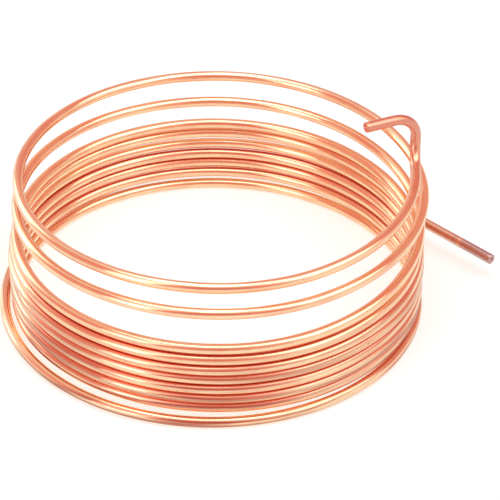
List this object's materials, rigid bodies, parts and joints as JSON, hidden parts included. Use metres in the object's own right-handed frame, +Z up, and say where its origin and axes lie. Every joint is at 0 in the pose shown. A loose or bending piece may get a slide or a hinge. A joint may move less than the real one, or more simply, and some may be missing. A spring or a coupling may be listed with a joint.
{
  "type": "copper tube coil",
  "caption": "Small loose coil of soft bare copper tube, with the top turns sprung open, a hooked upper end and a straight lower tail.",
  "frame": {"origin": "on the floor, at the middle of the bottom turn", "axes": "+Z up along the coil's axis, +X to the side where the tail runs off, +Y to the back"},
  "size_m": [0.149, 0.1297, 0.0597],
  "materials": {
    "bare_copper": "bright drawn copper, polished by the die, lightly scuffed"
  },
  "bodies": {
    "root": {"copper_tube": "bare_copper"}
  },
  "joints": []
}
